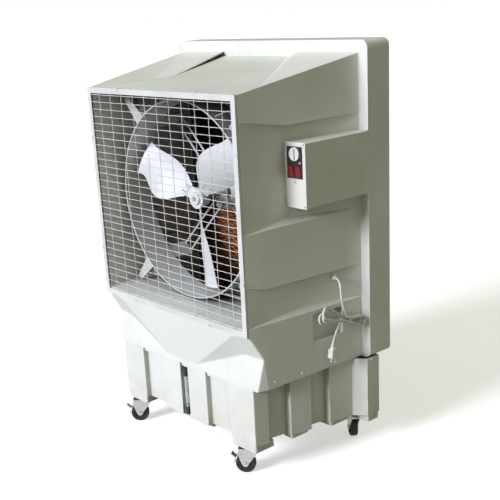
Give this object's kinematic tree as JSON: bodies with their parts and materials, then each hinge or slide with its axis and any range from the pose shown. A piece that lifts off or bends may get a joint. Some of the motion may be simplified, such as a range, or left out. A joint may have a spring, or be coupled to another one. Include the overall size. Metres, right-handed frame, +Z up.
{
  "type": "evaporative cooler",
  "caption": "Free-standing evaporative cooler: faceted moulded cabinet on a ribbed water tank with swivel casters, guarded axial fan outlet, side control arm, rear wet pad and tied mains lead.",
  "frame": {"origin": "floor centre: the middle of the bounding box, on the floor under the casters", "axes": "+Z up, -Y the way the air leaves through the guard, +X the side with the control arm and the mains lead"},
  "size_m": [1.1, 0.69, 1.61],
  "materials": {
    "shell_plastic": "matte",
    "tank_plastic": "matte",
    "guard_paint": "satin",
    "frame_paint": "satin",
    "motor_paint": "satin",
    "bright_steel": "satin",
    "blade_aluminium": "satin",
    "pad_cellulose": "matte",
    "clear_plastic": "gloss",
    "white_gloss": "satin",
    "black_plastic": "matte",
    "rocker_red": "gloss",
    "lamp_lens": "gloss",
    "hose_rubber": "matte",
    "valve_brass": "satin",
    "float_plastic": "satin",
    "capacitor_can": "satin",
    "cord_white": "satin",
    "plug_white": "satin",
    "caster_steel": "satin",
    "caster_rubber": "matte"
  },
  "bodies": {
    "cabinet": {"upper_housing": "shell_plastic", "control_panel": "shell_plastic", "pad_sill": "shell_plastic", "base_tank": "tank_plastic", "guard_frame": "guard_paint", "guard_wires": "guard_paint", "guard_clips": "guard_paint", "fan_ring": "frame_paint", "shroud_panel": "frame_paint", "ring_brackets": "frame_paint", "motor_plate": "frame_paint", "motor_rods": "frame_paint", "motor": "motor_paint", "skirt_screws": "bright_steel", "panel_screws": "bright_steel", "cooling_pad": "pad_cellulose", "sight_tube": "clear_plastic", "distributor_pipe": "white_gloss", "sight_fittings": "black_plastic", "panel_fascia": "black_plastic", "switch_bodies": "black_plastic", "terminal_block": "black_plastic", "pump_body": "black_plastic", "drain_cap": "black_plastic", "drain_outlet": "black_plastic", "power_lamp": "lamp_lens", "riser_hose": "hose_rubber", "float_valve": "valve_brass", "run_capacitor": "capacitor_can", "cord_lead": "cord_white", "cord_tail": "cord_white", "cord_hank": "cord_white", "cord_tie": "cord_white", "plug": "plug_white", "cord_gland": "plug_white", "caster_plates": "caster_steel"},
    "fan": {"motor_shaft": "bright_steel", "fan_hub": "blade_aluminium", "fan_blades": "blade_aluminium", "hub_cap": "blade_aluminium", "fan_fasteners": "bright_steel"},
    "pump_rotor": {"pump_impeller": "black_plastic"},
    "float": {"float_lever": "float_plastic"},
    "dial": {"speed_knob": "white_gloss"},
    "pump_switch": {"rocker_pump": "rocker_red"},
    "fan_switch": {"rocker_fan": "rocker_red"},
    "rear_grille": {"grille_frame": "shell_plastic", "grille_louvres": "shell_plastic", "grille_knobs": "black_plastic"},
    "swivel_front_left": {"caster_fork_front_left": "caster_steel"},
    "wheel_front_left": {"caster_wheel_front_left": "caster_rubber"},
    "brake_front_left": {"brake_pedal_front_left": "caster_steel"},
    "swivel_front_right": {"caster_fork_front_right": "caster_steel"},
    "wheel_front_right": {"caster_wheel_front_right": "caster_rubber"},
    "brake_front_right": {"brake_pedal_front_right": "caster_steel"},
    "swivel_rear_left": {"caster_fork_rear_left": "caster_steel"},
    "wheel_rear_left": {"caster_wheel_rear_left": "caster_rubber"},
    "swivel_rear_right": {"caster_fork_rear_right": "caster_steel"},
    "wheel_rear_right": {"caster_wheel_rear_right": "caster_rubber"}
  },
  "joints": [
    {"name": "fan_spin", "type": "hinge", "parent": "cabinet", "child": "fan", "pos_m": [0, -0.164, 1.04], "axis": [0, -1, 0], "continuous": true},
    {"name": "pump_spin", "type": "hinge", "parent": "cabinet", "child": "pump_rotor", "pos_m": [0.42, 0.136, 0.17], "axis": [0, 0, 1], "continuous": true},
    {"name": "float_swing", "type": "hinge", "parent": "cabinet", "child": "float", "pos_m": [-0.43527, 0.111, 0.355], "axis": [0, -1, 0], "range_deg": [0, 27]},
    {"name": "dial_turn", "type": "hinge", "parent": "cabinet", "child": "dial", "pos_m": [0.502, -0.12, 1.247], "axis": [0, 1, 0], "range_deg": [0, 270]},
    {"name": "pump_rocker", "type": "hinge", "parent": "cabinet", "child": "pump_switch", "pos_m": [0.481, -0.115, 1.184], "axis": [-1, 0, 0], "range_deg": [0, 11]},
    {"name": "fan_rocker", "type": "hinge", "parent": "cabinet", "child": "fan_switch", "pos_m": [0.515, -0.115, 1.184], "axis": [-1, 0, 0], "range_deg": [0, 11]},
    {"name": "grille_pull", "type": "slide", "parent": "cabinet", "child": "rear_grille", "axis": [0, 1, 0], "range_m": [0, 0.15]},
    {"name": "swivel_front_left", "type": "hinge", "parent": "cabinet", "child": "swivel_front_left", "pos_m": [-0.355, -0.259, 0.1], "axis": [0, 0, 1], "continuous": true},
    {"name": "roll_front_left", "type": "hinge", "parent": "swivel_front_left", "child": "wheel_front_left", "pos_m": [-0.373, -0.28045, 0.04], "axis": [-0.766, 0.6428, 0], "continuous": true},
    {"name": "brake_front_left", "type": "hinge", "parent": "swivel_front_left", "child": "brake_front_left", "pos_m": [-0.38791, -0.29822, 0.0824], "axis": [-0.766, 0.6428, 0], "range_deg": [0, 12]},
    {"name": "swivel_front_right", "type": "hinge", "parent": "cabinet", "child": "swivel_front_right", "pos_m": [0.355, -0.259, 0.1], "axis": [0, 0, 1], "continuous": true},
    {"name": "roll_front_right", "type": "hinge", "parent": "swivel_front_right", "child": "wheel_front_right", "pos_m": [0.33294, -0.27624, 0.04], "axis": [-0.6157, 0.788, 0], "continuous": true},
    {"name": "brake_front_right", "type": "hinge", "parent": "swivel_front_right", "child": "brake_front_right", "pos_m": [0.31465, -0.29052, 0.0824], "axis": [-0.6157, 0.788, 0], "range_deg": [0, 12]},
    {"name": "swivel_rear_left", "type": "hinge", "parent": "cabinet", "child": "swivel_rear_left", "pos_m": [-0.441, 0.233, 0.1], "axis": [0, 0, 1], "continuous": true},
    {"name": "roll_rear_left", "type": "hinge", "parent": "swivel_rear_left", "child": "wheel_rear_left", "pos_m": [-0.46873, 0.2369, 0.04], "axis": [0.1392, 0.9903, 0], "continuous": true},
    {"name": "swivel_rear_right", "type": "hinge", "parent": "cabinet", "child": "swivel_rear_right", "pos_m": [0.441, 0.233, 0.1], "axis": [0, 0, 1], "continuous": true},
    {"name": "roll_rear_right", "type": "hinge", "parent": "swivel_rear_right", "child": "wheel_rear_right", "pos_m": [0.41779, 0.24866, 0.04], "axis": [0.5592, 0.829, 0], "continuous": true}
  ]
}
